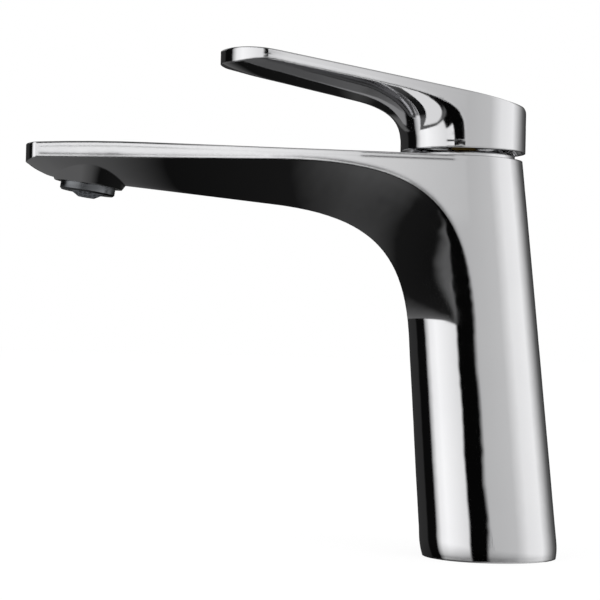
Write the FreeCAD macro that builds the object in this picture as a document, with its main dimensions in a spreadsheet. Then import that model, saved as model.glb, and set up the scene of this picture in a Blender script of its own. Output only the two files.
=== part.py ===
import FreeCAD, Part
import math
import os
import re
import Sketcher
from FreeCAD import Placement, Rotation, Vector

doc = FreeCAD.newDocument("BasinMixer")

# Frame: the origin is the centre of the base on the deck, Z is up, the spout points along -X,
# and the part is the same on both sides of Y = 0. Lengths are millimetres, angles degrees.

# Driving sizes: name, value, meaning
SIZES = [
    # Column and spout
    ("base_radius", 24.8, "column radius above the rolled edge of the base"),
    ("base_roll_height", 5.8, "height of the rolled edge"),
    ("base_roll_depth", 0.75, "how far the rolled edge draws in at the deck"),
    ("rim_height", 143.7, "top of the body at the cartridge axis"),
    ("rim_radius", 21.7, "radius of the body's rim under the ring"),
    ("cartridge_offset", 11.8, "cartridge axis in front of the base centre"),
    ("column_lean", 4.1, "lean of the column's front edge"),
    ("elbow_height", 79.2, "where the column's front starts to bend"),
    ("elbow_rise", 42.0, "corner of the front bend above its start"),
    ("elbow_reach", 80.3, "where the underside of the spout becomes straight"),
    ("spout_underside", 17.6, "straight underside below the rim, at its start"),
    ("underside_slope", 5.9, "rise of the spout's underside"),
    ("elbow_fullness", 1.25, "how closely the bend follows its corner"),
    ("crease_fullness", 1.4, "how closely the side crease follows its corner"),
    ("spout_edge", 4.25, "height of the spout's side edge at its root"),
    ("spout_edge_fall", 0.6, "fall of the side edge's crease to the tip"),
    ("spout_top_slope", 1.2, "rise of the spout's top"),
    ("spout_top_straight", 125.0, "where the top starts to bend down"),
    ("spout_top_bend", 600.0, "radius of the bend of the top"),
    ("spout_length", 170.5, "base centre to spout tip"),
    ("spout_tip_length", 6.5, "length of the rounded tip in plan"),
    ("spout_root_width", 20.2, "half width of the spout at its root"),
    ("spout_tip_width", 18.2, "half width of the spout at its tip"),
    ("nose_length", 11.0, "length of the rising underside at the tip"),
    ("nose_overrun", 0.3, "how far that underside is carried past the tip before it is trimmed"),
    ("nose_step", 0.3, "its end below the side crease"),
    ("belly_fullness", 0.6, "share of the half width that stays flat under the spout"),
    # Holes in the body
    ("base_bore_radius", 16.0, "bore in the base for hoses and stud"),
    ("base_bore_depth", 60.0, "depth of that bore"),
    ("inlet_radius", 4.5, "threaded inlets"),
    ("inlet_depth", 12.0, "depth of the inlets"),
    ("inlet_spread", 7.5, "inlets from the middle plane"),
    ("stud_hole_radius", 3.4, "threaded hole of the fixing stud"),
    ("stud_hole_depth", 14.0, "depth of that hole"),
    ("stud_hole_offset", 9.5, "stud hole behind the base centre"),
    ("duct_radius", 3.0, "water ducts"),
    ("waterway_radius", 4.2, "waterway along the spout"),
    ("waterway_root_drop", 14.5, "its axis below the rim at the cartridge"),
    ("waterway_tip_drop", 4.3, "its axis below the rim at the aerator"),
    ("base_seal_inset", 3.4, "base seal inside the column's radius"),
    ("base_seal_width", 2.8, "radial width of the base seal"),
    ("base_seal_height", 2.1, "base seal height"),
    # Cartridge
    ("chamber_radius", 17.8, "bore of the cartridge chamber"),
    ("nut_radius", 19.0, "thread of the cartridge nut"),
    ("nut_height", 5.0, "height of the nut"),
    ("nut_drop", 0.7, "top of the nut below the rim"),
    ("shoulder_drop", 1.0, "shoulder of the stem carrier below the nut"),
    ("neck_rise", 1.0, "neck of the stem carrier above the housing"),
    ("slot_reach", 7.0, "slot of the stem carrier behind the cartridge axis"),
    ("pivot_drop", 10.1, "stem pin below the rim"),
    ("stem_arm", 8.0, "stem pin to the ball on the stem's lower end"),
    ("stem_ball_radius", 2.4, "ball on the stem's lower end"),
    ("stem_width", 8.0, "square of the stem"),
    ("stem_length", 27.4, "stem above the pin"),
    ("stem_hub_radius", 4.0, "hub of the stem round the pin"),
    ("stem_neck", 3.2, "thickness of the stem's lower arm"),
    ("pin_radius", 1.5, "stem pin"),
    ("carrier_neck_radius", 9.8, "neck of the stem carrier"),
    ("housing_radius", 15.6, "outside of the cartridge housing"),
    ("housing_wall", 1.2, "wall of the cartridge housing"),
    ("housing_lip", 3.0, "lip over the stem carrier"),
    ("flange_radius", 17.6, "sealing flange of the housing"),
    ("flange_height", 3.5, "height of that flange"),
    ("o_ring_height", 1.9, "groove of the housing's O-ring"),
    ("o_ring_depth", 1.6, "depth of that groove"),
    ("coupler_height", 6.45, "disc coupler"),
    ("coupler_radius", 11.0, "disc coupler and moving disc"),
    ("moving_disc_height", 4.0, "moving ceramic disc"),
    ("fixed_disc_height", 4.5, "fixed ceramic disc"),
    ("fixed_disc_radius", 13.5, "fixed ceramic disc"),
    ("disc_seal_height", 1.0, "seal under the fixed disc"),
    ("seat_height", 7.5, "base of the cartridge"),
    ("seat_flange", 2.0, "flange of that base"),
    ("port_offset", 6.5, "ports from the cartridge axis"),
    ("window_lift", 1.0, "outlet window above the flange of the base"),
    ("window_height", 3.0, "height of the outlet window"),
    ("peg_radius", 1.5, "locating pegs of the base"),
    ("peg_spread", 9.5, "pegs from the middle plane"),
    ("seal_width", 1.4, "radial width of an inlet seal"),
    ("seal_height", 1.2, "height of an inlet seal"),
    ("limit_ring_height", 2.0, "temperature limit ring"),
    ("cover_radius", 18.9, "trim cover"),
    ("cover_top", 1.9, "top of the trim cover above the rim"),
    ("cover_opening", 11.5, "opening of the trim cover"),
    ("cover_wall", 1.2, "sheet of the trim cover"),
    # Handle
    ("ring_gap", 2.5, "gap between rim and handle ring"),
    ("ring_radius", 22.7, "outside of the handle ring"),
    ("ring_wall", 2.0, "wall of the handle ring"),
    ("ring_edge", 0.8, "lower edge of the ring"),
    ("ring_bevel", 2.8, "height of the bevel inside that edge"),
    ("handle_height", 20.3, "top of the handle above its lower edge, at the axis"),
    ("handle_roof", 13.3, "ceiling of the handle above its lower edge"),
    ("lever_slope", 11.2, "rise of the lever's top"),
    ("lever_length", 88.9, "cartridge axis to lever tip"),
    ("lever_straight", 67.2, "where the lever's top starts to bend down"),
    ("lever_bend", 80.0, "radius of that bend"),
    ("lever_edge", 3.7, "height of the lever's side edge"),
    ("lever_root_width", 20.8, "half width of the lever at its root"),
    ("lever_tip_width", 18.5, "half width of the lever at its tip"),
    ("lever_tip_length", 22.0, "length of the rounded tip in plan"),
    ("lever_bend_start", 2.3, "start of the bend above the ring's lower edge"),
    ("lever_bend_rise", 12.5, "corner of the bend above its start"),
    ("lever_reach", 40.2, "cartridge axis to where the lever's underside is straight"),
    ("lever_underside", 18.6, "that place above the ring's lower edge"),
    ("lever_underside_slope", 12.6, "rise of the lever's underside"),
    ("lever_nose_length", 13.0, "length of the rising underside at the tip"),
    ("lever_nose_overrun", 1.0, "how far that underside is carried past the tip"),
    ("lever_nose_step", 0.3, "its end below the lever's side crease"),
    ("lever_crease_fullness", 2.0, "how closely the lever's crease follows its corner"),
    ("hub_radius", 8.5, "socket boss in the handle"),
    ("hub_lift", 3.8, "boss above the ring's lower edge"),
    ("bush_radius", 6.3, "bush in the socket"),
    ("screw_radius", 2.5, "set screw"),
    ("screw_length", 11.0, "set screw"),
    ("screw_lift", 9.8, "screw above the ring's lower edge"),
    ("screw_boss_radius", 4.2, "boss round the screw"),
    ("plug_radius", 3.3, "plug behind the screw"),
    ("plug_length", 2.5, "plug behind the screw"),
    ("plug_inset", 0.45, "face of the plug inside the ring's surface"),
    ("hex_radius", 1.45, "hexagon socket of the set screw, corner radius"),
    ("hex_depth", 5.0, "depth of that socket"),
    ("rear_round", 3.0, "rounding of the handle's rear top edge"),
    # Aerator
    ("outlet_reach", 148.0, "base centre to the middle of the outlet"),
    ("outlet_drop", 11.9, "mouth of the outlet below the rim"),
    ("outlet_tilt", 8.0, "forward tilt of the jet"),
    ("boss_radius", 12.4, "boss round the outlet"),
    ("boss_flare", 4.0, "how much wider the boss is at its root"),
    ("boss_root", 7.0, "height of the boss inside the spout"),
    ("aerator_radius", 10.0, "collar of the aerator"),
    ("aerator_collar", 3.0, "height of that collar"),
    ("aerator_thread", 9.1, "thread of the aerator"),
    ("aerator_depth", 7.5, "length of that thread"),
    ("aerator_bore", 7.8, "bore of the aerator"),
    ("aerator_lip", 0.6, "lip that holds the screen"),
    ("gasket_height", 1.5, "aerator gasket"),
    ("screen_height", 0.75, "thickness of the aerator screen"),
    ("screen_sag", 2.3, "how far the screen bulges below its rim"),
    ("screen_crown", 3.0, "radius of the flat middle of that bulge"),
    ("screen_pitch", 1.7, "spacing of the screen's holes"),
    ("screen_bar", 0.6, "width of the screen's bars"),
    ("insert_height", 5.8, "jet former in the aerator"),
    ("jet_radius", 1.0, "holes of the jet former"),
    ("jet_circle", 5.2, "circle that those holes stand on"),
    ("regulator_radius", 6.0, "flow regulator"),
    # Fits
    ("running_gap", 0.1, "clearance of turning fits"),
    ("loose_gap", 0.3, "clearance of loose fits"),
    ("seat_gap", 0.05, "clearance of seated pieces"),
]

# Levels that follow from the driving sizes
LEVELS = [
    ("base_seal_outer", "base_radius - base_seal_inset"),
    ("base_seal_inner", "base_seal_outer - base_seal_width"),
    ("pivot_level", "rim_height - pivot_drop"),
    ("ball_level", "pivot_level - stem_arm"),
    ("coupler_top", "ball_level + stem_ball_radius - loose_gap"),
    ("coupler_level", "coupler_top - coupler_height"),
    ("moving_disc_level", "coupler_level - moving_disc_height"),
    ("fixed_disc_level", "moving_disc_level - seat_gap - fixed_disc_height"),
    ("disc_seal_level", "fixed_disc_level - disc_seal_height"),
    ("chamber_floor", "disc_seal_level - seat_height"),
    ("carrier_level", "coupler_top + loose_gap"),
    ("nut_top", "rim_height - nut_drop"),
    ("nut_level", "nut_top - nut_height"),
    ("flange_level", "nut_level - flange_height"),
    ("carrier_shoulder", "nut_level - shoulder_drop"),
    ("housing_bore", "housing_radius - housing_wall"),
    ("housing_top", "carrier_shoulder + loose_gap + housing_lip"),
    ("carrier_top", "housing_top + neck_rise"),
    ("ring_level", "rim_height + ring_gap"),
    ("hub_level", "ring_level + hub_lift"),
    ("screw_level", "ring_level + screw_lift"),
    ("stem_top", "pivot_level + stem_length"),
]

sheet = doc.addObject("Spreadsheet::Sheet", "Sizes")
for row, (alias, number, meaning) in enumerate(SIZES, start=1):
    sheet.set("A%d" % row, meaning)
    sheet.set("B%d" % row, str(number))
    sheet.setAlias("B%d" % row, alias)
for row, (alias, formula) in enumerate(LEVELS, start=len(SIZES) + 2):
    sheet.set("B%d" % row, "=" + formula)
    sheet.setAlias("B%d" % row, alias)
doc.recompute()
ALIASES = {entry[0] for entry in SIZES} | {entry[0] for entry in LEVELS}


def size(alias):
    """Value of one cell of the sheet."""
    return float(getattr(sheet, alias))


SPARE = "D1"


def worth(text):
    """Value of a formula of the sheet."""
    sheet.set(SPARE, "=" + text)
    sheet.recompute()
    return float(sheet.get(SPARE))


def named(text):
    """Formula with every size written as a cell of the sheet."""
    def cell(match):
        word = match.group(0)
        return "Sizes." + word if word in ALIASES else word
    return re.sub(r"[a-z_]+", cell, text)


def bind(piece, **formulas):
    """Tie properties of a piece to the sheet."""
    for prop, text in formulas.items():
        piece.setExpression(prop, named(text))
    return piece


def place(piece, x="0", y="0", z="0"):
    """Tie the position of a piece to the sheet."""
    for letter, text in (("x", x), ("y", y), ("z", z)):
        piece.setExpression("Placement.Base." + letter, named(text))
    return piece


# Axes that a cylinder can lie along
ALONG = {
    "z": Rotation(),
    "x": Rotation(Vector(0, 1, 0), 90),
    "y": Rotation(Vector(1, 0, 0), -90),
}


def cylinder(name, radius, height, x="0", y="0", z="0", along="z"):
    """Round bar that starts at a point and runs along one axis."""
    bar = doc.addObject("Part::Cylinder", name)
    bar.Placement.Rotation = ALONG[along]
    bind(bar, Radius=radius, Height=height)
    return place(bar, x, y, z)


def cone(name, lower, upper, height, x="0", y="0", z="0"):
    """Upright cone."""
    piece = doc.addObject("Part::Cone", name)
    bind(piece, Radius1=lower, Radius2=upper, Height=height)
    return place(piece, x, y, z)


def box(name, length, width, height, x, y, z):
    """Block that starts at its lowest corner."""
    block = doc.addObject("Part::Box", name)
    bind(block, Length=length, Width=width, Height=height)
    return place(block, x, y, z)


def fuse(name, pieces):
    """Pieces joined into one."""
    joined = doc.addObject("Part::MultiFuse", name)
    joined.Shapes = pieces
    return joined


def gather(name, pieces):
    """Pieces that don't touch, taken as one."""
    group = doc.addObject("Part::Compound", name)
    group.Links = pieces
    return group


def cut(name, base, tools):
    """A base without the room that its tools take."""
    tool = tools[0] if len(tools) == 1 else fuse(name + "_holes", tools)
    result = doc.addObject("Part::Cut", name)
    result.Base = base
    result.Tool = tool
    return result


def turned(name, outline):
    """Turned piece: a sketch of radius and height, revolved about its own axis."""
    body = doc.addObject("PartDesign::Body", name)
    sketch = body.newObject("Sketcher::SketchObject", name + "_outline")
    plane = [p for p in body.Origin.OriginFeatures if p.Role == "XZ_Plane"][0]
    sketch.AttachmentSupport = [(plane, "")]
    sketch.MapMode = "FlatFace"
    points = []
    for radius, height in outline:
        points.append(Vector(worth(radius), worth(height), 0))
    count = len(points)
    for index in range(count):
        line = Part.LineSegment(points[index], points[(index + 1) % count])
        sketch.addGeometry(line, False)
    for index in range(count):
        joint = Sketcher.Constraint("Coincident", index, 2, (index + 1) % count, 1)
        sketch.addConstraint(joint)
    for index, (radius, height) in enumerate(outline):
        for kind, text, number in (
            ("DistanceX", radius, points[index].x),
            ("DistanceY", height, points[index].y),
        ):
            place_of = sketch.addConstraint(Sketcher.Constraint(kind, -1, 1, index, 1, number))
            sketch.setExpression("Constraints[%d]" % place_of, named(text))
    turn = body.newObject("PartDesign::Revolution", name + "_turn")
    turn.Profile = sketch
    turn.ReferenceAxis = (sketch, ["V_Axis"])
    turn.Angle = 360
    return body


def ring(name, inner, outer, low, high):
    """Plain turned ring."""
    return turned(name, [(inner, low), (outer, low), (outer, high), (inner, high)])


# Curves of the two elbows, in the middle plane
def conic(start, corner, end, fullness, share):
    """Point of a conic arc that leaves its ends towards the corner."""
    first = (1 - share) ** 2
    middle = 2 * fullness * share * (1 - share)
    last = share ** 2
    total = first + middle + last
    return tuple(
        (first * a + middle * b + last * c) / total for a, b, c in zip(start, corner, end)
    )


def conic_towards(arc, centre, angle):
    """Point of a conic arc that a centre sees at an angle above the horizontal."""
    low, high = 0.0, 1.0
    for _ in range(60):
        share = (low + high) / 2
        across, up = conic(*arc, share)
        seen = math.atan2(up - centre[1], across - centre[0])
        if seen < angle:
            low = share
        else:
            high = share
    return conic(*arc, low)


ROUND = math.sqrt(0.5)


def section(keel, crease, side, back, half_width, fullness):
    """Closed section through four points of the middle plane, on a line away from the keel.

    The hull runs from the keel to the crease at the half width, the side is straight, and
    the back is a half ellipse."""
    origin = Vector(keel[0], 0, keel[1])
    outward = (Vector(back[0], 0, back[1]) - origin).normalize()
    sideways = Vector(0, half_width, 0)

    def distance(point):
        return (Vector(point[0], 0, point[1]) - origin).Length

    def spot(along, across):
        return origin + outward * along + sideways * across

    def bow(start, control, end):
        curve = Part.BezierCurve()
        curve.setPoles([start, control, end])
        curve.setWeight(2, ROUND)
        return curve.toShape()

    low, high, end = distance(crease), distance(side), distance(back)
    edges = [
        bow(spot(0, 0), spot(0, fullness), spot(low, 1)),
        Part.LineSegment(spot(low, 1), spot(high, 1)).toShape(),
        bow(spot(high, 1), spot(end, 1), spot(end, 0)),
        bow(spot(end, 0), spot(end, -1), spot(high, -1)),
        Part.LineSegment(spot(high, -1), spot(low, -1)).toShape(),
        bow(spot(low, -1), spot(0, -fullness), spot(0, 0)),
    ]
    return Part.Wire(edges)


def smooth(share):
    """Smooth step from 0 to 1."""
    share = min(max(share, 0.0), 1.0)
    return share * share * (3 - 2 * share)


# Blanks rise this many times the form's own height above its bend, and are then cut to the top
BLANK_SIDE = 1.9
BLANK_BACK = 2.55
BLANK_FULLNESS = 8.0
FLAT = 0.4
FAN_STEPS = 12
# Rounding of the two noses, and how many sections each is drawn with
NOSE_FULLNESS = 0.8
NOSE_STEPS = 5
LEVER_NOSE_STEPS = 4
# A rounded tip starts this far outside the sides, so that it meets them at an angle
TIP_CLEAR = 0.2


def fan(centre, keel, crease, side, back, widths, belly):
    """Sections that turn from level to upright about the centre of a bend."""
    wires = []
    for step in range(FAN_STEPS + 1):
        share = step / FAN_STEPS
        angle = share * math.pi / 2
        four = [conic_towards(arc, centre, angle) for arc in (keel, crease, side, back)]
        width = widths[0] + (widths[1] - widths[0]) * share
        sharp = smooth((share - 0.1) / 0.8)
        wires.append(section(*four, width, 1 - (1 - belly) * sharp))
    return wires


def top_cutter(points, bend_end, ceiling, half_width):
    """Solid above a top that is straight between two points and then bends down to a third."""
    rear, straight_end, middle = [Vector(x, -half_width, z) for x, z in points]
    last = Vector(bend_end[0], -half_width, bend_end[1])
    corner_front = Vector(last.x, -half_width, ceiling)
    corner_rear = Vector(rear.x, -half_width, ceiling)
    edges = [
        Part.LineSegment(rear, straight_end).toShape(),
        Part.Arc(straight_end, middle, last).toShape(),
        Part.LineSegment(last, corner_front).toShape(),
        Part.LineSegment(corner_front, corner_rear).toShape(),
        Part.LineSegment(corner_rear, rear).toShape(),
    ]
    return Part.Face(Part.Wire(edges)).extrude(Vector(0, 2 * half_width, 0))


def tip_cutter(tip_x, tip_length, half_width, low, high):
    """Solid outside a tip that is a half ellipse in plan."""
    centre_x = tip_x + tip_length
    wide = 2 * half_width
    height = high - low
    block = Part.makeBox(
        tip_length + half_width, 2 * wide, height, Vector(tip_x - half_width, -wide, low)
    )
    if tip_length > half_width:
        round_tip = Part.Ellipse(Vector(centre_x, 0, low), tip_length, half_width)
    else:
        round_tip = Part.Ellipse(
            Vector(centre_x, half_width, low),
            Vector(centre_x - tip_length, 0, low),
            Vector(centre_x, 0, low),
        )
    face = Part.Face(Part.Wire([round_tip.toShape()]))
    return block.cut(face.extrude(Vector(0, 0, height)))


# Outer form of the body
ROLL = size("base_roll_height")
RIM = size("rim_height")
AXIS_X = -size("cartridge_offset")
LEAN = math.tan(math.radians(size("column_lean")))


def up_the_column(level):
    """Share of the way from the rolled edge to the rim."""
    return (level - ROLL) / (RIM - ROLL)


def column_front(level):
    return -size("base_radius") - LEAN * (level - ROLL)


def column_axis(level):
    return AXIS_X * up_the_column(level)


def column_half_width(level):
    return size("base_radius") + (size("rim_radius") - size("base_radius")) * up_the_column(level)


def column_rear(level):
    return column_axis(level) + column_half_width(level)


def column_section(level, drawn_in=0.0):
    """Level section of the column, drawn in where the base edge is rolled."""
    points = [
        (column_front(level) + drawn_in, level),
        (column_axis(level) - FLAT, level),
        (column_axis(level) + FLAT, level),
        (column_rear(level) - drawn_in, level),
    ]
    return section(*points, column_half_width(level) - drawn_in, 1.0)


def spout_top(x):
    """Height of the spout's top."""
    slope = math.tan(math.radians(size("spout_top_slope")))
    past = max(0.0, -size("spout_top_straight") - x)
    return RIM + slope * (AXIS_X - x) - past ** 2 / (2 * size("spout_top_bend"))


def body_form():
    """Column, elbow and spout as one solid."""
    elbow_z = size("elbow_height")
    elbow_x = -size("elbow_reach")
    centre = (elbow_x, elbow_z)
    underside_z = RIM - size("spout_underside")
    rise = math.tan(math.radians(size("underside_slope")))
    fall = math.tan(math.radians(size("spout_edge_fall")))
    crease_z = spout_top(elbow_x) - size("spout_edge")
    height = spout_top(-size("spout_top_straight")) - elbow_z
    side_z = elbow_z + BLANK_SIDE * height
    back_z = elbow_z + BLANK_BACK * height
    corner_z = elbow_z + size("elbow_rise")
    keel = ((column_front(elbow_z), elbow_z), (column_front(corner_z), corner_z),
            (elbow_x, underside_z), size("elbow_fullness"))
    crease_corner = (column_axis(crease_z), crease_z - fall * (elbow_x - column_axis(crease_z)))
    crease = ((column_axis(elbow_z) - FLAT, elbow_z), crease_corner,
              (elbow_x, crease_z), size("crease_fullness"))
    side = ((column_axis(elbow_z) + FLAT, elbow_z), (column_axis(side_z) + FLAT, side_z),
            (elbow_x, side_z), BLANK_FULLNESS)
    back = ((column_rear(elbow_z), elbow_z), (column_rear(back_z), back_z),
            (elbow_x, back_z), BLANK_FULLNESS)
    belly = size("belly_fullness")
    root_width = size("spout_root_width")
    roll = size("base_roll_depth")
    wires = [column_section(ROLL * step / 3, roll * (1 - step / 3) ** 2) for step in range(3)]
    wires += [column_section(ROLL + (elbow_z - ROLL) * step / 4) for step in range(4)]
    widths = (column_half_width(elbow_z), root_width)
    wires += fan(centre, keel, crease, side, back, widths, belly)

    tip_x = -size("spout_length")
    nose_x = tip_x + size("nose_length")

    def crease_at(x):
        return crease_z - fall * (elbow_x - x)

    def width_at(x):
        share = (elbow_x - x) / (elbow_x - tip_x)
        return root_width + (size("spout_tip_width") - root_width) * share

    def spout_section(x, keel_z):
        points = [(x, keel_z), (x, crease_at(x)), (x, side_z), (x, back_z)]
        return section(*points, width_at(x), belly)

    steps = 5
    for step in range(1, steps + 1):
        x = elbow_x + (nose_x - elbow_x) * step / steps
        wires.append(spout_section(x, underside_z + rise * (elbow_x - x)))
    nose_z = underside_z + rise * (elbow_x - nose_x)
    past_x = tip_x - size("nose_overrun")
    nose_corner_x = (nose_x + past_x) / 2
    nose = ((nose_x, nose_z), (nose_corner_x, nose_z + rise * (nose_x - nose_corner_x)),
            (past_x, crease_at(past_x) - size("nose_step")), NOSE_FULLNESS)
    for step in range(1, NOSE_STEPS + 1):
        wires.append(spout_section(*conic(*nose, step / NOSE_STEPS)))
    form = Part.makeLoft(wires, True, False)

    wide = 3 * size("base_radius")
    bend_x = -size("spout_top_straight")
    far_x = tip_x - wide
    middle_x = (bend_x + far_x) / 2
    line = [(wide, spout_top(wide)), (bend_x, spout_top(bend_x)), (middle_x, spout_top(middle_x))]
    top = top_cutter(line, (far_x, spout_top(far_x)), back_z + wide, wide)
    form = form.cut(top)
    start_x = tip_x + size("spout_tip_length")
    tip_width = width_at(start_x) + TIP_CLEAR
    tip = tip_cutter(tip_x, size("spout_tip_length"), tip_width, 0.0, back_z)
    return form.cut(tip)


def rear_cutter(rear_x, corner_z, slope, rounding, half_width):
    """Solid outside the rounded corner between a sloping top and an upright rear."""
    tilt = math.atan(slope)
    setback = rounding * math.tan((math.pi / 2 - tilt) / 2)
    centre = Vector(rear_x - rounding, -half_width, corner_z - setback)
    corner = Vector(rear_x, -half_width, corner_z)
    rear = centre + Vector(rounding, 0, 0)
    top = centre + Vector(rounding * math.sin(tilt), 0, rounding * math.cos(tilt))
    middle_angle = (math.pi / 2 - tilt) / 2
    middle = centre + Vector(rounding * math.cos(middle_angle), 0, rounding * math.sin(middle_angle))
    edges = [
        Part.Arc(rear, middle, top).toShape(),
        Part.LineSegment(top, corner).toShape(),
        Part.LineSegment(corner, rear).toShape(),
    ]
    return Part.Face(Part.Wire(edges)).extrude(Vector(0, 2 * half_width, 0))


def lever_top(x):
    """Height of the lever's top."""
    slope = math.tan(math.radians(size("lever_slope")))
    start = AXIS_X - size("lever_straight")
    past = max(0.0, start - x)
    level = size("ring_level") + size("handle_height") + slope * (AXIS_X - x)
    return level - past ** 2 / (2 * size("lever_bend"))


def handle_form():
    """Ring, bend and lever as one solid."""
    low = size("ring_level")
    radius = size("ring_radius")
    start_z = low + size("lever_bend_start")
    reach_x = AXIS_X - size("lever_reach")
    centre = (reach_x, start_z)
    underside_z = low + size("lever_underside")
    slope = math.tan(math.radians(size("lever_slope")))
    rise = math.tan(math.radians(size("lever_underside_slope")))
    edge = size("lever_edge")
    crease_z = lever_top(reach_x) - edge
    height = lever_top(AXIS_X - size("lever_straight")) - start_z
    side_z = start_z + BLANK_SIDE * height
    back_z = start_z + BLANK_BACK * height
    front_x, rear_x = AXIS_X - radius, AXIS_X + radius
    keel = ((front_x, start_z), (front_x, start_z + size("lever_bend_rise")),
            (reach_x, underside_z), size("elbow_fullness"))
    crease = ((AXIS_X - FLAT, start_z), (AXIS_X - FLAT, crease_z - slope * (AXIS_X - reach_x)),
              (reach_x, crease_z), size("lever_crease_fullness"))
    side = ((AXIS_X + FLAT, start_z), (AXIS_X + FLAT, side_z), (reach_x, side_z), BLANK_FULLNESS)
    back = ((rear_x, start_z), (rear_x, back_z), (reach_x, back_z), BLANK_FULLNESS)
    belly = size("belly_fullness")
    root_width = size("lever_root_width")

    def ring_section(level):
        points = [(front_x, level), (AXIS_X - FLAT, level), (AXIS_X + FLAT, level), (rear_x, level)]
        return section(*points, radius, 1.0)

    wires = [ring_section(low), ring_section((low + start_z) / 2)]
    wires += fan(centre, keel, crease, side, back, (radius, root_width), belly)

    tip_x = AXIS_X - size("lever_length")
    nose_x = tip_x + size("lever_nose_length")

    def width_at(x):
        share = (reach_x - x) / (reach_x - tip_x)
        return root_width + (size("lever_tip_width") - root_width) * share

    def lever_section(x, keel_z):
        points = [(x, keel_z), (x, lever_top(x) - edge), (x, side_z), (x, back_z)]
        return section(*points, width_at(x), belly)

    steps = 4
    for step in range(1, steps + 1):
        x = reach_x + (nose_x - reach_x) * step / steps
        wires.append(lever_section(x, underside_z + rise * (reach_x - x)))
    nose_z = underside_z + rise * (reach_x - nose_x)
    past_x = tip_x - size("lever_nose_overrun")
    corner_x = (nose_x + past_x) / 2
    nose = ((nose_x, nose_z), (corner_x, nose_z + rise * (nose_x - corner_x)),
            (past_x, lever_top(past_x) - edge - size("lever_nose_step")), NOSE_FULLNESS)
    for step in range(1, LEVER_NOSE_STEPS + 1):
        wires.append(lever_section(*conic(*nose, step / LEVER_NOSE_STEPS)))
    form = Part.makeLoft(wires, True, False)

    wide = 3 * radius
    bend_x = AXIS_X - size("lever_straight")
    far_x = tip_x - radius
    middle_x = (bend_x + far_x) / 2
    line = [(wide, lever_top(wide)), (bend_x, lever_top(bend_x)), (middle_x, lever_top(middle_x))]
    form = form.cut(top_cutter(line, (far_x, lever_top(far_x)), back_z + wide, wide))
    start_x = tip_x + size("lever_tip_length")
    tip_width = width_at(start_x) + TIP_CLEAR
    form = form.cut(tip_cutter(tip_x, size("lever_tip_length"), tip_width, 0.0, back_z))
    return form.cut(rear_cutter(rear_x, lever_top(rear_x), slope, size("rear_round"), radius))


def formed(name, shape):
    """Free form as an object of the document."""
    feature = doc.addObject("Part::Feature", name)
    feature.Shape = shape
    return feature


AXIS = "-cartridge_offset"


def at_axis(name, outline):
    """Turned piece on the cartridge axis."""
    return place(turned(name, outline), AXIS)


def bar(name, radius, height, low, x="0", y="0"):
    """Upright bar beside the cartridge axis."""
    return cylinder(name, radius, height, AXIS + " + " + x, y, low)


def pair(name, radius, height, low, x, y):
    """Two upright bars, one on each side of the middle plane."""
    return [
        cylinder(name + "_left", radius, height, x, "-" + y, low),
        cylinder(name + "_right", radius, height, x, y, low),
    ]


def between(name, radius, start, end):
    """Round bar between two points."""
    piece = doc.addObject("Part::Cylinder", name)
    bind(piece, Radius=radius)
    piece.Height = (end - start).Length
    piece.Placement = Placement(start, Rotation(Vector(0, 0, 1), end - start))
    return piece


def lying(name, radius, length, x, z):
    """Round bar along X in the middle plane."""
    return cylinder(name, radius, length, x, "0", z, "x")


def across(name, radius, half_length):
    """Round bar along Y on the lift axis."""
    return cylinder(name, radius, half_length + " * 2", AXIS, "-" + half_length, "pivot_level", "y")


def pillar(name, width, height, low):
    """Square upright bar on the cartridge axis."""
    start = "-(" + width + ") / 2"
    return box(name, width, width, height, AXIS + " " + start, start, low)


def at_outlet(piece):
    """Piece made upright at the origin, placed on the leaning axis of the outlet."""
    piece.Placement.Rotation = Rotation(Vector(0, 1, 0), size("outlet_tilt"))
    return place(piece, "-outlet_reach", "0", "rim_height - outlet_drop")


# Body: column and spout, with the outlet's boss
body_skin = formed("body_skin", body_form())
outlet_boss = at_outlet(
    cone("outlet_boss", "boss_radius", "boss_radius + boss_flare", "boss_root")
)
body_blank = fuse("body_blank", [body_skin, outlet_boss])

# Ducts climb from the inlets to the ports under the cartridge
inlet_top = size("base_bore_depth") + size("inlet_depth")
ducts = []
for side, sign in (("left", -1), ("right", 1)):
    lower = Vector(0, sign * size("inlet_spread"), inlet_top - size("duct_radius"))
    upper = Vector(AXIS_X, sign * size("port_offset"), size("chamber_floor") + size("seat_gap"))
    ducts.append(between("duct_" + side, "duct_radius", lower, upper))
waterway = between(
    "waterway",
    "waterway_radius",
    Vector(AXIS_X - size("housing_radius"), 0, RIM - size("waterway_root_drop")),
    Vector(-size("outlet_reach"), 0, RIM - size("waterway_tip_drop")),
)
outlet_bore = at_outlet(
    cylinder(
        "outlet_bore", "aerator_thread + running_gap", "aerator_depth + gasket_height + seat_gap"
    )
)
seal_groove = ring(
    "seal_groove", "base_seal_inner - seat_gap", "base_seal_outer + seat_gap",
    "-base_seal_height", "base_seal_height + seat_gap",
)
body_casting = cut(
    "body_casting",
    body_blank,
    [
        cylinder("base_bore", "base_bore_radius", "base_bore_depth"),
        cylinder(
            "stud_hole", "stud_hole_radius", "base_bore_depth + stud_hole_depth",
            "stud_hole_offset",
        ),
        *pair("inlet", "inlet_radius", "base_bore_depth + inlet_depth", "0", "0", "inlet_spread"),
        *ducts,
        *pair(
            "peg_hole", "peg_radius + seat_gap", "seat_flange * 2",
            "chamber_floor - seat_flange - seat_gap", AXIS + " + port_offset", "peg_spread",
        ),
        bar("chamber", "chamber_radius", "rim_height", "chamber_floor"),
        bar("nut_thread", "nut_radius + running_gap", "rim_height", "nut_level"),
        waterway,
        outlet_bore,
        seal_groove,
    ],
)
base_seal_ring = ring("base_seal_ring", "base_seal_inner", "base_seal_outer", "0", "base_seal_height")

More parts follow.
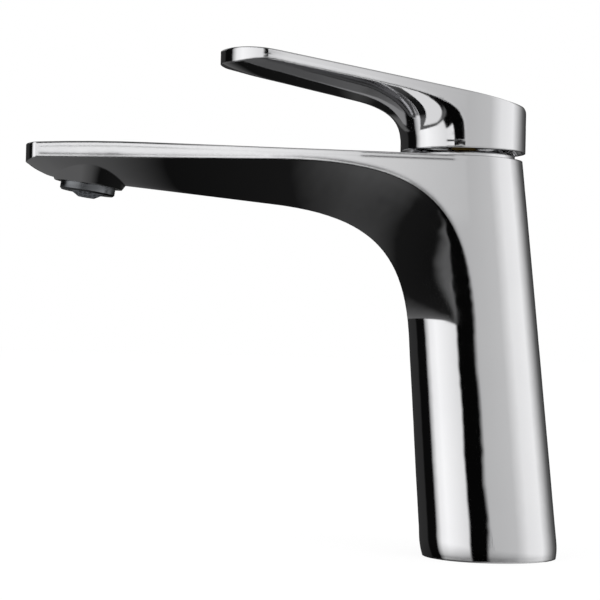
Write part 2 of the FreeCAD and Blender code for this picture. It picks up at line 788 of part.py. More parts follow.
# Cartridge, from the floor of its chamber upwards
seat_top = "chamber_floor + seat_flange"
seat_blank = at_axis(
    "seat_blank",
    [
        ("0", "chamber_floor"),
        ("chamber_radius - loose_gap", "chamber_floor"),
        ("chamber_radius - loose_gap", seat_top),
        ("housing_bore - running_gap", seat_top),
        ("housing_bore - running_gap", "disc_seal_level"),
        ("0", "disc_seal_level"),
    ],
)
seat_pegs = pair(
    "seat_peg", "peg_radius", "seat_flange * 2", "chamber_floor - seat_flange",
    AXIS + " + port_offset", "peg_spread",
)


def outlet_window(name):
    """Opening towards the spout through the wall of the cartridge."""
    return box(
        name, "housing_radius * 2 - port_offset", "duct_radius * 2", "window_height",
        AXIS + " - housing_radius * 2", "-duct_radius", seat_top + " + window_lift",
    )


cartridge_base = cut(
    "cartridge_base",
    fuse("seat_with_pegs", [seat_blank, *seat_pegs]),
    [
        *pair(
            "seat_port", "duct_radius", "seat_height * 3", "chamber_floor - seat_height", AXIS,
            "port_offset",
        ),
        *pair(
            "seal_pocket", "duct_radius + seal_width + seat_gap", "seal_height * 2",
            "chamber_floor - seal_height", AXIS, "port_offset",
        ),
        bar(
            "outlet_port", "duct_radius", "seat_height", seat_top + " + window_lift", "-port_offset"
        ),
        outlet_window("seat_window"),
    ],
)
inlet_seals = cut(
    "inlet_seals",
    fuse(
        "seal_blanks",
        pair(
            "seal_blank", "duct_radius + seal_width", "seal_height", "chamber_floor", AXIS,
            "port_offset",
        ),
    ),
    pair(
        "seal_hole", "duct_radius", "seal_height * 3", "chamber_floor - seal_height", AXIS,
        "port_offset",
    ),
)


def ported_disc(name, low, height):
    """Disc with the holes of the two inlets and the outlet."""
    deep = height + " * 3"
    start = low + " - " + height
    holes = pair(name + "_inlet", "duct_radius", deep, start, AXIS, "port_offset")
    holes.append(bar(name + "_outlet", "duct_radius", deep, start, "-port_offset"))
    return cut(name, bar(name + "_blank", "fixed_disc_radius", height, low), holes)


fixed_disc_seal = ported_disc("fixed_disc_seal", "disc_seal_level", "disc_seal_height")
fixed_disc = ported_disc("fixed_disc", "fixed_disc_level", "fixed_disc_height")
mixing_room = box(
    "mixing_room", "port_offset + duct_radius", "(port_offset + duct_radius) * 2",
    "moving_disc_height", AXIS + " - port_offset", "-port_offset - duct_radius",
    "moving_disc_level - moving_disc_height / 2",
)
moving_disc = cut(
    "moving_disc",
    bar("moving_blank", "coupler_radius", "moving_disc_height", "moving_disc_level"),
    [mixing_room],
)
disc_coupler = cut(
    "disc_coupler",
    bar("coupler_blank", "coupler_radius", "coupler_height", "coupler_level"),
    [
        pillar(
            "ball_socket", "(stem_ball_radius + loose_gap) * 2", "coupler_height",
            "ball_level - stem_ball_radius - loose_gap",
        )
    ],
)
groove_low = "nut_level - (flange_height + o_ring_height) / 2"
groove_high = "nut_level - (flange_height - o_ring_height) / 2"
groove_floor = "flange_radius - o_ring_depth"
lip_level = "carrier_shoulder + loose_gap"
housing_blank = at_axis(
    "housing_blank",
    [
        ("housing_bore", seat_top),
        ("housing_radius", seat_top),
        ("housing_radius", "flange_level"),
        ("flange_radius", "flange_level"),
        ("flange_radius", groove_low),
        (groove_floor, groove_low),
        (groove_floor, groove_high),
        ("flange_radius", groove_high),
        ("flange_radius", "nut_level"),
        ("housing_bore", "nut_level"),
        ("housing_bore", "housing_top"),
        ("carrier_neck_radius + running_gap", "housing_top"),
        ("carrier_neck_radius + running_gap", lip_level),
        ("housing_bore", lip_level),
    ],
)
cartridge_housing = cut("cartridge_housing", housing_blank, [outlet_window("housing_window")])
housing_o_ring = place(
    ring(
        "housing_o_ring", groove_floor + " + seat_gap", "chamber_radius - seat_gap",
        groove_low + " + seat_gap", groove_high + " - seat_gap",
    ),
    AXIS,
)
nut_blank = place(
    ring("nut_blank", "housing_bore + loose_gap", "nut_radius", "nut_level", "nut_top"), AXIS
)
cartridge_nut = cut(
    "cartridge_nut",
    nut_blank,
    [
        box(
            "nut_slot_along", "nut_radius * 4", "duct_radius", "nut_height",
            AXIS + " - nut_radius * 2", "-duct_radius / 2", "nut_top - nut_height / 3",
        ),
        box(
            "nut_slot_across", "duct_radius", "nut_radius * 4", "nut_height",
            AXIS + " - duct_radius / 2", "-nut_radius * 2", "nut_top - nut_height / 3",
        ),
    ],
)
limit_blank = place(
    ring(
        "limit_blank", "carrier_neck_radius + loose_gap * 2", "housing_bore - loose_gap",
        "housing_top", "housing_top + limit_ring_height",
    ),
    AXIS,
)
limit_notch = box(
    "limit_notch", "housing_radius", "stem_width", "limit_ring_height", AXIS, "-stem_width / 2",
    "housing_top + limit_ring_height / 2",
)
temperature_limit_ring = cut("temperature_limit_ring", limit_blank, [limit_notch])
cover_level = "rim_height + cover_top"
cartridge_cover = at_axis(
    "cartridge_cover",
    [
        ("housing_bore + loose_gap", "nut_top"),
        ("cover_radius", "nut_top"),
        ("cover_radius", cover_level + " - cover_wall / 2"),
        ("cover_radius - cover_wall / 2", cover_level),
        ("cover_opening", cover_level),
        ("cover_opening", cover_level + " - cover_wall"),
        ("housing_bore + loose_gap", cover_level + " - cover_wall"),
    ],
)

# Stem carrier, with the slot that the stem tips in
carrier_radius = "housing_bore - running_gap"
carrier_blank = at_axis(
    "carrier_blank",
    [
        ("0", "carrier_level"),
        (carrier_radius, "carrier_level"),
        (carrier_radius, "carrier_shoulder"),
        ("carrier_neck_radius", "carrier_shoulder"),
        ("carrier_neck_radius", "carrier_top"),
        ("0", "carrier_top"),
    ],
)
stem_slot = box(
    "stem_slot", "stem_hub_radius + loose_gap + slot_reach", "stem_width + loose_gap",
    "stem_length", AXIS + " - stem_hub_radius - loose_gap", "-(stem_width + loose_gap) / 2",
    "ball_level",
)
pin_reach = "(housing_bore - loose_gap)"
stem_carrier = cut(
    "stem_carrier",
    carrier_blank,
    [stem_slot, across("pin_hole", "pin_radius + running_gap / 4", "housing_radius")],
)
stem_pin = across("stem_pin", "pin_radius", pin_reach)
stem_ball = doc.addObject("Part::Sphere", "stem_ball")
bind(stem_ball, Radius="stem_ball_radius")
place(stem_ball, AXIS, "0", "ball_level")
stem_blank = fuse(
    "stem_blank",
    [
        across("stem_hub", "stem_hub_radius", "(stem_width / 2)"),
        stem_ball,
        pillar("stem_neck_bar", "stem_neck", "stem_arm", "ball_level"),
        pillar("stem_bar", "stem_width", "stem_length", "pivot_level"),
    ],
)
cartridge_stem = cut(
    "cartridge_stem",
    stem_blank,
    [across("stem_eye", "pin_radius + running_gap / 2", "stem_width")],
)

# Handle: ring and lever, hollow under the roof but for the bosses of the stem and its screw
ring_bore = "ring_radius - ring_wall"
ring_room = fuse(
    "ring_room",
    [
        bar("ring_hollow", ring_bore, "handle_roof", "ring_level"),
        cone(
            "ring_bevel_room", "ring_radius - ring_edge", ring_bore, "ring_bevel", AXIS, "0",
            "ring_level",
        ),
    ],
)
handle_room = cut(
    "handle_room",
    ring_room,
    [
        bar("socket_boss", "hub_radius", "handle_height", "hub_level"),
        lying("screw_boss", "screw_boss_radius", "ring_radius", AXIS, "screw_level"),
    ],
)
plug_start = AXIS + " + ring_radius - plug_inset - plug_length"
lever_handle = cut(
    "lever_handle",
    formed("handle_skin", handle_form()),
    [
        handle_room,
        bar(
            "stem_socket", "bush_radius + seat_gap", "stem_top - ring_level + loose_gap",
            "ring_level",
        ),
        lying("screw_hole", "screw_radius + seat_gap", "ring_radius * 2", AXIS, "screw_level"),
        lying("plug_hole", "plug_radius + seat_gap", "ring_radius", plug_start, "screw_level"),
    ],
)
handle_bush = cut(
    "handle_bush",
    bar("bush_blank", "bush_radius", "stem_top - hub_level", "hub_level"),
    [
        pillar("bush_square", "stem_width + seat_gap", "stem_length", "ring_level"),
        lying("bush_screw_hole", "screw_radius + seat_gap", "ring_radius", AXIS, "screw_level"),
    ],
)
screw_start = AXIS + " + stem_width / 2 + seat_gap"
hexagon = doc.addObject("Part::Prism", "screw_hexagon")
hexagon.Polygon = 6
hexagon.Placement.Rotation = ALONG["x"]
bind(hexagon, Circumradius="hex_radius", Height="screw_length")
place(hexagon, screw_start + " + screw_length - hex_depth", "0", "screw_level")
handle_set_screw = cut(
    "handle_set_screw",
    lying("screw_blank", "screw_radius", "screw_length", screw_start, "screw_level"),
    [hexagon],
)
screw_plug = lying("screw_plug", "plug_radius", "plug_length", plug_start, "screw_level")

# Aerator, made upright about its own axis
lip_top = "aerator_lip - aerator_collar"
aerator_housing = turned(
    "aerator_housing",
    [
        ("aerator_bore - aerator_lip", "-aerator_collar"),
        ("aerator_radius - aerator_lip", "-aerator_collar"),
        ("aerator_radius", lip_top),
        ("aerator_radius", "-seat_gap"),
        ("aerator_thread", "-seat_gap"),
        ("aerator_thread", "aerator_depth"),
        ("aerator_bore", "aerator_depth"),
        ("aerator_bore", lip_top),
        ("aerator_bore - aerator_lip", lip_top),
    ],
)
gasket_top = "aerator_depth + gasket_height"
aerator_gasket = ring(
    "aerator_gasket", "regulator_radius + loose_gap", "aerator_thread", "aerator_depth + seat_gap",
    gasket_top,
)
inner_radius = "aerator_bore - seat_gap"
screen_level = lip_top + " + seat_gap"
dome_radius = "aerator_bore - aerator_lip - loose_gap"
insert_level = screen_level + " + screen_height + seat_gap"
mesh_reach = size("aerator_bore") - size("aerator_lip") - size("screen_pitch") + size("screen_bar")
mesh_rows = int(mesh_reach / size("screen_pitch"))
mesh_holes = []
for row in range(-mesh_rows, mesh_rows + 1):
    for column in range(-mesh_rows, mesh_rows + 1):
        if math.hypot(row, column) * size("screen_pitch") > mesh_reach:
            continue
        corners = ["screen_pitch * %d - (screen_pitch - screen_bar) / 2" % step for step in (row, column)]
        mesh_holes.append(
            box(
                "mesh_hole", "screen_pitch - screen_bar", "screen_pitch - screen_bar",
                "screen_sag + screen_height * 3", *corners,
                screen_level + " - screen_sag - screen_height",
            )
        )
aerator_screen = cut(
    "aerator_screen",
    turned(
        "screen_blank",
        [
            ("0", screen_level + " - screen_sag"),
            ("screen_crown", screen_level + " - screen_sag"),
            (dome_radius, screen_level),
            (inner_radius, screen_level),
            (inner_radius, screen_level + " + screen_height"),
            (dome_radius, screen_level + " + screen_height"),
            ("screen_crown", screen_level + " + screen_height - screen_sag"),
            ("0", screen_level + " + screen_height - screen_sag"),
        ],
    ),
    [gather("screen_mesh", mesh_holes)],
)
JETS = 12
jets = []
for index in range(JETS):
    turn = "(%d * 360 / %d)" % (index, JETS)
    jets.append(
        cylinder(
            "jet", "jet_radius", "insert_height * 3", "jet_circle * cos" + turn,
            "jet_circle * sin" + turn, insert_level + " - insert_height",
        )
    )
aerator_insert = cut(
    "aerator_insert",
    cylinder("insert_blank", inner_radius, "insert_height", "0", "0", insert_level),
    [gather("insert_jets", jets)],
)
flow_regulator = ring(
    "flow_regulator", "regulator_radius / 3", "regulator_radius",
    insert_level + " + insert_height + seat_gap", gasket_top,
)
for piece in (aerator_housing, aerator_gasket, aerator_screen, aerator_insert, flow_regulator):
    at_outlet(piece)

PIECES = [
    body_casting, base_seal_ring,
    cartridge_base, inlet_seals, fixed_disc_seal, fixed_disc, moving_disc, disc_coupler,
    cartridge_housing, housing_o_ring, cartridge_nut, temperature_limit_ring, cartridge_cover,
    stem_carrier, stem_pin, cartridge_stem,
    lever_handle, handle_bush, handle_set_screw, screw_plug,
    aerator_housing, aerator_gasket, aerator_screen, aerator_insert, flow_regulator,
]
doc.recompute()

# Nothing is written unless every object of the document is sound
for item in doc.Objects:
    if "Invalid" in item.State or "Error" in item.State:
        raise RuntimeError("%s failed: %s" % (item.Name, item.State))
for piece in PIECES:
    if piece.Shape.isNull() or not piece.Shape.isValid() or not piece.Shape.Solids:
        raise RuntimeError("%s has no sound solid" % piece.Label)
os.makedirs("parts", exist_ok=True)
for piece in PIECES:
    piece.Shape.exportStep("parts/%s.step" % piece.Label)
    print("%-24s %d solid(s) %10.1f mm3" % (piece.Label, len(piece.Shape.Solids), piece.Shape.Volume))
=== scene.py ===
import math
import bpy
from bpy.props import FloatProperty, FloatVectorProperty, PointerProperty, StringProperty
from mathutils import Matrix, Vector

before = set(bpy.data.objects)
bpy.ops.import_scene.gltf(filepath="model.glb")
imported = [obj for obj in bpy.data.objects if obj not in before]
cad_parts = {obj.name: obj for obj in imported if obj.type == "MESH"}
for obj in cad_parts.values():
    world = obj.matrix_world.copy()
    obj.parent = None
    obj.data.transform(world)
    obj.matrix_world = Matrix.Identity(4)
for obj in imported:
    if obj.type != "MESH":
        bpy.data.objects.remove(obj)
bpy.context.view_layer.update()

bl_info = {
    "name": "Basin mixer tap",
    "version": (1, 0, 0),
    "blender": (4, 5, 0),
    "location": "3D View > Sidebar > Mixer",
    "description": "Finishes a single-lever basin mixer tap and sets it on a studio table",
    "category": "Object",
}

MM = 0.001
PICTURE = 600.0
SENSOR = 36.0

# Table, in metres and shares of white
TABLE_REACH = 6.0
TABLE_WHITE = 1.02
TABLE_SHARE = 0.85

# Soft boxes, in metres and watts
LAMP_SIZE = 0.8
LAMP_POWER = 4.0

# Surround of reflection cards: its arc, and the heights where its tones change, in metres
CARD_CENTRE = Vector((-0.012, 0.0, 0.0))
CARD_STEP = 3.0
CARD_RADIUS = 1.0
SURROUND_BOTTOM = -0.65
SURROUND_FOOT = -0.15
SURROUND_SHOULDER = 0.215
SURROUND_CROWN = 0.29
SURROUND_SKY = 0.42
SURROUND_TOP = 0.9
FOOT_SHARE = 0.2

# Small flags near the tap, in metres
RING_FLAG_Y = -0.13
RING_FLAG_LOW = 0.157
RING_FLAG_HIGH = 0.175
GROUND_HALF_WIDTH = 0.6
GROUND_HEIGHT = 0.083
CHEEK_NEAR_Y = -0.034
CHEEK_FAR_Y = -0.095
CHEEK_HEIGHT = 0.14


def linear(code):
    """Linear colour of an sRGB hex value."""
    parts = [int(code[i:i + 2], 16) / 255.0 for i in (1, 3, 5)]
    out = [p / 12.92 if p <= 0.04045 else ((p + 0.055) / 1.055) ** 2.4 for p in parts]
    return (*out, 1.0)


def add(tree, kind, inputs=None, **settings):
    """Add a node with its settings; an input is a value or a socket to link."""
    made = tree.nodes.new(kind)
    for name, value in settings.items():
        setattr(made, name, value)
    for name, value in (inputs or {}).items():
        if isinstance(value, bpy.types.NodeSocket):
            tree.links.new(value, made.inputs[name])
        else:
            made.inputs[name].default_value = value
    return made


def blank(name):
    """Empty node material, with its output."""
    material = bpy.data.materials.new(name)
    material.use_nodes = True
    material.node_tree.nodes.clear()
    return material, material.node_tree


def per_metre(millimetres):
    """Texture scale whose features are about this large."""
    return 1.0 / (millimetres * MM)


class MixerFinishes(bpy.types.PropertyGroup):
    """Colours of the finishes"""
    chrome: StringProperty(name="Chrome", description="Polished chrome plate", default="#E4E4E5")
    chrome_deep: StringProperty(
        name="Chrome, deep", description="Cooler patches of the plate", default="#DADADC")
    # Satin chrome of the aerator: its roughness is the satin finish, and its dark grey is painted shade for
    # the dark surroundings that the collar mirrors
    satin: StringProperty(name="Satin chrome", description="Satin plate of the aerator", default="#77797C")
    brass: StringProperty(name="Brass", description="Turned brass", default="#C9A862")
    steel: StringProperty(name="Steel", description="Drawn stainless steel", default="#B9BBBD")
    rubber: StringProperty(name="Rubber", description="Moulded EPDM rubber", default="#191A1B")
    acetal_white: StringProperty(name="White acetal", description="Moulded acetal", default="#E6E5E0")
    acetal_grey: StringProperty(name="Grey acetal", description="Moulded acetal", default="#4A4D52")
    acetal_red: StringProperty(name="Red acetal", description="Moulded acetal", default="#B5261F")
    alumina: StringProperty(name="Alumina", description="Lapped ceramic", default="#EFEDE6")
    table: StringProperty(name="Table", description="Pale table top", default="#F4F4F4")


class MixerStage(bpy.types.PropertyGroup):
    """Camera and light"""
    target: FloatVectorProperty(
        name="Target", description="Point that the camera looks at", subtype="XYZ", unit="LENGTH",
        default=(-0.06991, 0.0, 0.091483))
    distance: FloatProperty(
        name="Distance", description="Camera to target", unit="LENGTH", default=0.73282)
    azimuth: FloatProperty(
        name="Azimuth", description="Camera round the tap", subtype="ANGLE", default=math.radians(0.505))
    elevation: FloatProperty(
        name="Elevation", description="Camera above the target", subtype="ANGLE",
        default=math.radians(-0.959))
    roll: FloatProperty(
        name="Roll", description="Turn of the picture", subtype="ANGLE", default=math.radians(1.224))
    focal: FloatProperty(
        name="Focal length", description="Focal length in picture widths", default=2013.56 / PICTURE)
    light: FloatProperty(name="Light", description="Level of the studio light", default=1.0)


def dress(nodes, material):
    """Give CAD nodes one material."""
    for name in nodes:
        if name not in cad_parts:
            raise RuntimeError("no node named " + name)
        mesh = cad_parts[name].data
        mesh.materials.clear()
        mesh.materials.append(material)


def polished_chrome(looks):
    """Chrome plate over polished brass: a mirror with the faint swell that hand buffing leaves."""
    material, tree = blank("polished_chrome_plate")
    where = add(tree, "ShaderNodeTexCoord")
    # Buffing leaves patches about 30 mm wide that take the light a little cooler
    patches = add(tree, "ShaderNodeTexNoise", {
        "Vector": where.outputs["Object"], "Scale": per_metre(30), "Detail": 2.0})
    colour = add(tree, "ShaderNodeMix", {
        "Factor": patches.outputs["Fac"], "A": linear(looks.chrome), "B": linear(looks.chrome_deep)},
        data_type="RGBA")
    # Dried film a few millimetres wide dulls the mirror slightly
    film = add(tree, "ShaderNodeTexNoise", {
        "Vector": where.outputs["Object"], "Scale": per_metre(4), "Detail": 4.0})
    rough = add(tree, "ShaderNodeMapRange", {
        "Value": film.outputs["Fac"], "To Min": 0.025, "To Max": 0.075})
    # Polishing rounds every edge by about a millimetre, and evens out the broad faces between them
    edges = add(tree, "ShaderNodeBevel", {"Radius": 1.0 * MM}, samples=8)
    broad = add(tree, "ShaderNodeBevel", {"Radius": 3.0 * MM}, samples=16)
    face = add(tree, "ShaderNodeNewGeometry")
    turn = add(tree, "ShaderNodeVectorMath", {
        0: broad.outputs["Normal"], 1: face.outputs["Normal"]}, operation="DOT_PRODUCT")
    even = add(tree, "ShaderNodeMapRange", {
        "Value": turn.outputs["Value"], "From Min": 0.9975, "From Max": 0.999})
    normal = add(tree, "ShaderNodeMix", {
        "Factor": even.outputs["Result"], "A": edges.outputs["Normal"], "B": broad.outputs["Normal"]},
        data_type="VECTOR")
    shader = add(tree, "ShaderNodeBsdfPrincipled", {
        "Base Color": colour.outputs["Result"], "Metallic": 1.0, "Roughness": rough.outputs["Result"],
        "Normal": normal.outputs["Result"]})
    add(tree, "ShaderNodeOutputMaterial", {"Surface": shader.outputs["BSDF"]})
    return material


def turned_metal(name, code, ring_mm):
    """Bright turned or drawn metal: fine tool rings that spread the gloss."""
    material, tree = blank(name)
    where = add(tree, "ShaderNodeTexCoord")
    rings = add(tree, "ShaderNodeTexWave", {
        "Vector": where.outputs["Object"], "Scale": per_metre(ring_mm) / 20,
        "Distortion": 1.5, "Detail": 2.0},
        wave_type="BANDS", bands_direction="Z")
    rough = add(tree, "ShaderNodeMapRange", {
        "Value": rings.outputs["Fac"], "To Min": 0.22, "To Max": 0.38})
    bump = add(tree, "ShaderNodeBump", {
        "Height": rings.outputs["Fac"], "Strength": 0.15, "Distance": 0.05 * MM})
    shader = add(tree, "ShaderNodeBsdfPrincipled", {
        "Base Color": linear(code), "Metallic": 1.0, "Roughness": rough.outputs["Result"],
        "Normal": bump.outputs["Normal"]})
    add(tree, "ShaderNodeOutputMaterial", {"Surface": shader.outputs["BSDF"]})
    return material


def moulded(name, code, roughness, grain_mm, depth_mm):
    """Moulded polymer or pressed ceramic: an even colour with the fine grain of its mould."""
    material, tree = blank(name)
    where = add(tree, "ShaderNodeTexCoord")
    grain = add(tree, "ShaderNodeTexNoise", {
        "Vector": where.outputs["Object"], "Scale": per_metre(grain_mm), "Detail": 3.0})
    base = linear(code)
    shade = tuple(part * 0.86 for part in base[:3]) + (1.0,)
    colour = add(tree, "ShaderNodeMix", {
        "Factor": grain.outputs["Fac"], "A": base, "B": shade}, data_type="RGBA")
    bump = add(tree, "ShaderNodeBump", {
        "Height": grain.outputs["Fac"], "Strength": 0.2, "Distance": depth_mm * MM})
    shader = add(tree, "ShaderNodeBsdfPrincipled", {
        "Base Color": colour.outputs["Result"], "Roughness": roughness, "Normal": bump.outputs["Normal"]})
    add(tree, "ShaderNodeOutputMaterial", {"Surface": shader.outputs["BSDF"]})
    return material


class MIXER_OT_body(bpy.types.Operator):
    """Plate the casting and the trim ring above it"""
    bl_idname = "mixer.body"
    bl_label = "Body and trim"

    def execute(self, context):
        dress(["body_casting", "cartridge_cover"], polished_chrome(context.scene.mixer_finishes))
        return {"FINISHED"}


class MIXER_OT_handle(bpy.types.Operator):
    """Plate the lever and finish its bush, screw and plug"""
    bl_idname = "mixer.handle"
    bl_label = "Lever handle"

    def execute(self, context):
        looks = context.scene.mixer_finishes
        dress(["lever_handle", "screw_plug"], polished_chrome(looks))
        dress(["handle_bush"], moulded("moulded_grey_acetal_bush", looks.acetal_grey, 0.5, 1.5, 0.03))
        dress(["handle_set_screw"], turned_metal("drawn_stainless_screw", looks.steel, 0.4))
        return {"FINISHED"}


class MIXER_OT_aerator(bpy.types.Operator):
    """Finish the aerator and its inner pieces"""
    bl_idname = "mixer.aerator"
    bl_label = "Aerator"

    def execute(self, context):
        looks = context.scene.mixer_finishes
        # Satin chrome whose dark grey is painted shade, standing in for the dark reflection on the collar
        dress(["aerator_housing"], turned_metal("satin_chrome_and_painted_shade", looks.satin, 0.5))
        grey = moulded("moulded_grey_acetal", looks.acetal_grey, 0.45, 1.2, 0.03)
        dress(["aerator_screen", "flow_regulator"], grey)
        dress(["aerator_insert"], moulded("moulded_white_acetal_jets", looks.acetal_white, 0.45, 1.2, 0.03))
        dress(["aerator_gasket"], moulded("moulded_epdm_gasket", looks.rubber, 0.7, 0.8, 0.05))
        return {"FINISHED"}


class MIXER_OT_cartridge(bpy.types.Operator):
    """Finish the ceramic disc cartridge"""
    bl_idname = "mixer.cartridge"
    bl_label = "Cartridge"

    def execute(self, context):
        looks = context.scene.mixer_finishes
        white = moulded("moulded_white_acetal", looks.acetal_white, 0.45, 1.5, 0.03)
        dress(["cartridge_base", "cartridge_housing", "disc_coupler"], white)
        dress(["stem_carrier"], moulded("moulded_grey_acetal_carrier", looks.acetal_grey, 0.45, 1.5, 0.03))
        dress(["temperature_limit_ring"], moulded("moulded_red_acetal", looks.acetal_red, 0.4, 1.5, 0.03))
        dress(["fixed_disc", "moving_disc"], moulded("lapped_alumina", looks.alumina, 0.25, 0.6, 0.01))
        dress(["cartridge_nut", "cartridge_stem"], turned_metal("turned_brass", looks.brass, 0.6))
        dress(["stem_pin"], turned_metal("drawn_stainless_pin", looks.steel, 0.4))
        return {"FINISHED"}


class MIXER_OT_seals(bpy.types.Operator):
    """Finish the rubber seals"""
    bl_idname = "mixer.seals"
    bl_label = "Seals"

    def execute(self, context):
        looks = context.scene.mixer_finishes
        rubber = moulded("moulded_epdm_rubber", looks.rubber, 0.7, 0.8, 0.05)
        dress(["base_seal_ring", "inlet_seals", "fixed_disc_seal", "housing_o_ring"], rubber)
        return {"FINISHED"}


def stage_mesh(name, corners, faces, material):
    """Mesh of the stage, not part of the tap."""
    mesh = bpy.data.meshes.new(name)
    mesh.from_pydata(corners, [], faces)
    mesh.materials.append(material)
    made = bpy.data.objects.new(name, mesh)
    bpy.context.scene.collection.objects.link(made)
    return made


def studio_card(name):
    """Glowing card whose emitted grey, kept at its corners, paints reflections on the plate; it shows on the
    face side only.
    """
    material, tree = blank(name)
    tone = add(tree, "ShaderNodeAttribute", attribute_name="tone")
    lit = add(tree, "ShaderNodeEmission", {"Strength": tone.outputs["Fac"]})
    clear = add(tree, "ShaderNodeBsdfTransparent")
    side = add(tree, "ShaderNodeNewGeometry")
    mix = add(tree, "ShaderNodeMixShader", {
        "Fac": side.outputs["Backfacing"], 1: lit.outputs["Emission"], 2: clear.outputs["BSDF"]})
    add(tree, "ShaderNodeOutputMaterial", {"Surface": mix.outputs["Shader"]})
    return material


def card(name, columns, foot=1.0):
    """Strip of quads between (low corner, high corner, grey) columns; only reflections see it.

    The grey fades to the share foot at the low corners."""
    corners = []
    tones = []
    for low, high, grey in columns:
        corners += [low, high]
        tones += [grey * foot, grey]
    faces = [(2 * i, 2 * i + 1, 2 * i + 3, 2 * i + 2) for i in range(len(columns) - 1)]
    made = stage_mesh(name, corners, faces, studio_card(name))
    made.data.attributes.new("tone", "FLOAT", "POINT").data.foreach_set("value", tones)
    made.visible_camera = False
    made.visible_diffuse = False
    made.visible_transmission = False
    made.visible_shadow = False


def standing_card(name, stops, low, high, foot=1.0):
    """Card on an arc round the tap, graded between (degrees, grey) stops.

    0 degrees faces the camera, and + is towards the rear of the tap."""
    columns = []
    for (start, first), (end, last) in zip(stops, stops[1:]):
        count = math.ceil((end - start) / CARD_STEP)
        for step in range(count + 1):
            share = step / count
            angle = math.radians(start + (end - start) * share)
            x = CARD_CENTRE.x + CARD_RADIUS * math.sin(angle)
            y = CARD_CENTRE.y - CARD_RADIUS * math.cos(angle)
            columns.append(((x, y, low), (x, y, high), first + (last - first) * share))
    card(name, columns, foot)


def lying_card(name, stops, half_width, height):
    """Level card graded between (x, grey) stops; it faces up where x grows, and down where x falls."""
    card(name, [((x, half_width, height), (x, -half_width, height), grey) for x, grey in stops])


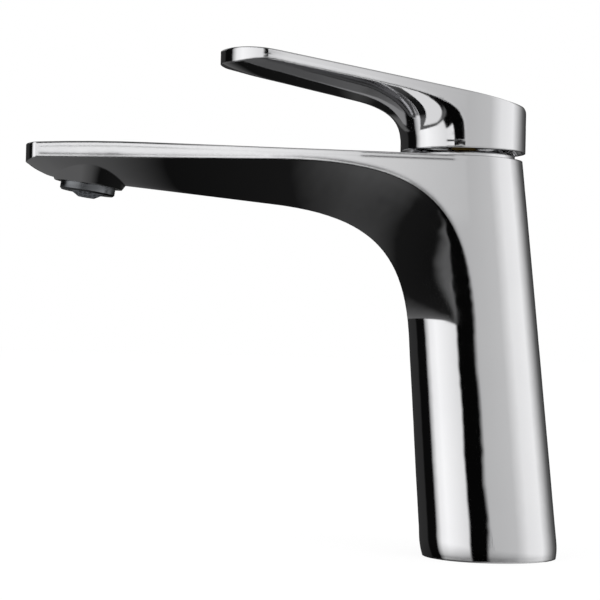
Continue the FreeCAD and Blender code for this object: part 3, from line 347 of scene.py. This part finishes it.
class MIXER_OT_stage(bpy.types.Operator):
    """Set the table, light, flags and camera"""
    bl_idname = "mixer.stage"
    bl_label = "Studio"

    def execute(self, context):
        scene = context.scene
        stage = scene.mixer_stage
        self.table(scene.mixer_finishes)
        self.world(scene, stage)
        self.flags()
        self.lamps(scene, stage)
        self.camera(scene, stage)
        scene.view_settings.view_transform = "Standard"
        return {"FINISHED"}

    def table(self, looks):
        """Pale table that shows white to the camera but for the tap's shadow."""
        material, tree = blank("pale_table_laminate")
        shader = add(tree, "ShaderNodeBsdfDiffuse", {"Color": linear(looks.table)})
        path = add(tree, "ShaderNodeLightPath")
        white = add(tree, "ShaderNodeEmission", {"Color": (1.0, 1.0, 1.0, 1.0), "Strength": TABLE_WHITE})
        seen = add(tree, "ShaderNodeMath", {
            0: path.outputs["Is Camera Ray"], 1: path.outputs["Is Glossy Ray"]}, operation="MAXIMUM")
        share = add(tree, "ShaderNodeMath", {0: seen.outputs["Value"], 1: TABLE_SHARE}, operation="MULTIPLY")
        mix = add(tree, "ShaderNodeMixShader", {
            "Fac": share.outputs["Value"], 1: shader.outputs["BSDF"], 2: white.outputs["Emission"]})
        add(tree, "ShaderNodeOutputMaterial", {"Surface": mix.outputs["Shader"]})
        reach = TABLE_REACH
        corners = [(-reach, -reach, 0.0), (reach, -reach, 0.0), (reach, reach, 0.0), (-reach, reach, 0.0)]
        top = stage_mesh("table_top", corners, [(0, 1, 2, 3)], material)
        # The plate mirrors the graded surround instead of the table
        top.visible_glossy = False

    def world(self, scene, stage):
        """White surroundings for the eye and for mirrors; a plain level of light for the rest."""
        world = bpy.data.worlds.new("white_studio")
        scene.world = world
        world.use_nodes = True
        tree = world.node_tree
        tree.nodes.clear()
        path = add(tree, "ShaderNodeLightPath")
        mirror = add(tree, "ShaderNodeMath", {
            0: path.outputs["Is Glossy Ray"], 1: path.outputs["Is Transmission Ray"]}, operation="MAXIMUM")
        seen = add(tree, "ShaderNodeMath", {
            0: path.outputs["Is Camera Ray"], 1: mirror.outputs["Value"]}, operation="MAXIMUM")
        dim = add(tree, "ShaderNodeBackground", {"Color": (1.0, 1.0, 1.0, 1.0), "Strength": stage.light})
        white = add(tree, "ShaderNodeBackground", {"Color": (1.0, 1.0, 1.0, 1.0), "Strength": 1.0})
        mix = add(tree, "ShaderNodeMixShader", {
            "Fac": seen.outputs["Value"], 1: dim.outputs["Background"], 2: white.outputs["Background"]})
        add(tree, "ShaderNodeOutputWorld", {"Surface": mix.outputs["Shader"]})

    def flags(self):
        """Graded surround and flags that draw the bands on the plate; stops are (degrees, grey)."""
        left = (
            (-180.0, 0.035), (-126.0, 0.03), (-121.0, 0.004), (-99.0, 0.004), (-95.0, 0.5),
            (-86.0, 1.1), (-72.0, 1.25), (-34.0, 0.95))
        right = (
            (4.0, 0.6), (45.0, 0.66), (68.0, 1.0), (98.0, 1.1), (112.0, 0.7), (124.0, 0.36),
            (135.0, 0.15), (150.0, 0.06), (180.0, 0.035))
        black = ((-30.0, 0.002), (-4.5, 0.002), (1.0, 0.58))
        pale = ((-9.0, 1.1), (-3.0, 0.8))
        upper = ((-31.0, 0.002), (-13.0, 0.002), (-10.0, 0.9), (-3.0, 0.75))
        # High behind the tap one side is lighter, for the top faces
        rear_sky = ((-180.0, 0.035), (-172.0, 0.36), (-126.0, 0.36))
        low = left + black + right
        standing_card("surround_foot", low, SURROUND_BOTTOM, SURROUND_FOOT, FOOT_SHARE)
        standing_card("surround_low", low, SURROUND_FOOT, SURROUND_SHOULDER)
        standing_card("surround_high", left + pale + right, SURROUND_SHOULDER, SURROUND_CROWN)
        standing_card("surround_top", left + upper + right, SURROUND_CROWN, SURROUND_SKY)
        standing_card("surround_sky", rear_sky + left[2:] + upper + right, SURROUND_SKY, SURROUND_TOP)
        # Dark flag for the ring, in front of it
        card("flag_ring", [
            ((x, RING_FLAG_Y, RING_FLAG_LOW), (x, RING_FLAG_Y, RING_FLAG_HIGH), 0.002)
            for x in (-0.052, -0.012)])
        # Ground that the underside of the spout mirrors: grey below its tip, black along it
        ground = (
            (-0.7, 0.12), (-0.175, 0.12), (-0.145, 0.07), (-0.125, 0.006), (-0.08, 0.01),
            (-0.06, 0.1), (-0.05, 0.15))
        lying_card("flag_ground", ground, GROUND_HALF_WIDTH, GROUND_HEIGHT)
        # White card for the hollow under the lever's root
        card("white_cheek", [
            ((x, CHEEK_NEAR_Y, CHEEK_HEIGHT), (x, CHEEK_FAR_Y, CHEEK_HEIGHT), 0.9)
            for x in (-0.095, -0.022)])
        ceiling = ((1.0, 0.75), (0.1, 0.4), (-0.25, 0.12), (-1.0, 0.3))
        lying_card("grey_ceiling", ceiling, CARD_RADIUS, SURROUND_TOP)
        floor = ((-1.0, 0.05), (-0.3, 0.1), (0.1, 0.5), (1.0, 0.8))
        lying_card("grey_floor", floor, CARD_RADIUS, SURROUND_BOTTOM)

    def lamps(self, scene, stage):
        """Two soft boxes that light matte pieces and are kept out of the mirror."""
        for name, place in (("soft_box_left", (-0.9, -0.8, 0.9)), ("soft_box_right", (0.8, -0.9, 1.0))):
            data = bpy.data.lights.new(name, "AREA")
            data.size = LAMP_SIZE
            data.energy = LAMP_POWER
            lamp = bpy.data.objects.new(name, data)
            lamp.location = place
            aim = Vector(stage.target) - Vector(place)
            lamp.rotation_euler = aim.to_track_quat("-Z", "Y").to_euler()
            lamp.visible_glossy = False
            scene.collection.objects.link(lamp)

    def camera(self, scene, stage):
        """Camera at the photograph's angle."""
        around, above, turn = stage.azimuth, stage.elevation, stage.roll
        level = math.cos(above)
        back = Vector((math.sin(around) * level, -math.cos(around) * level, math.sin(above)))
        right = Vector((math.cos(around), math.sin(around), 0.0))
        up = back.cross(right)
        side = right * math.cos(turn) + up * math.sin(turn)
        top = up * math.cos(turn) - right * math.sin(turn)
        data = bpy.data.cameras.new("studio_camera")
        data.sensor_width = SENSOR
        data.lens = SENSOR * stage.focal
        data.clip_start = 0.01
        camera = bpy.data.objects.new("studio_camera", data)
        place = Vector(stage.target) + back * stage.distance
        camera.matrix_world = Matrix((
            (side.x, top.x, back.x, place.x),
            (side.y, top.y, back.y, place.y),
            (side.z, top.z, back.z, place.z),
            (0.0, 0.0, 0.0, 1.0),
        ))
        scene.collection.objects.link(camera)
        scene.camera = camera


STEPS = (MIXER_OT_body, MIXER_OT_handle, MIXER_OT_aerator, MIXER_OT_cartridge, MIXER_OT_seals, MIXER_OT_stage)


class MIXER_PT_panel(bpy.types.Panel):
    """Steps of the tap"""
    bl_idname = "MIXER_PT_panel"
    bl_label = "Basin mixer tap"
    bl_space_type = "VIEW_3D"
    bl_region_type = "UI"
    bl_category = "Mixer"

    def draw(self, context):
        for step in STEPS:
            self.layout.operator(step.bl_idname)


GROUPS = (MixerFinishes, MixerStage)


def register():
    for item in GROUPS + STEPS + (MIXER_PT_panel,):
        bpy.utils.register_class(item)
    bpy.types.Scene.mixer_finishes = PointerProperty(type=MixerFinishes)
    bpy.types.Scene.mixer_stage = PointerProperty(type=MixerStage)


def unregister():
    del bpy.types.Scene.mixer_stage
    del bpy.types.Scene.mixer_finishes
    for item in reversed(GROUPS + STEPS + (MIXER_PT_panel,)):
        bpy.utils.unregister_class(item)


def main():
    register()
    bpy.ops.mixer.body()
    bpy.ops.mixer.handle()
    bpy.ops.mixer.aerator()
    bpy.ops.mixer.cartridge()
    bpy.ops.mixer.seals()
    bpy.ops.mixer.stage()


if __name__ == "__main__":
    main()
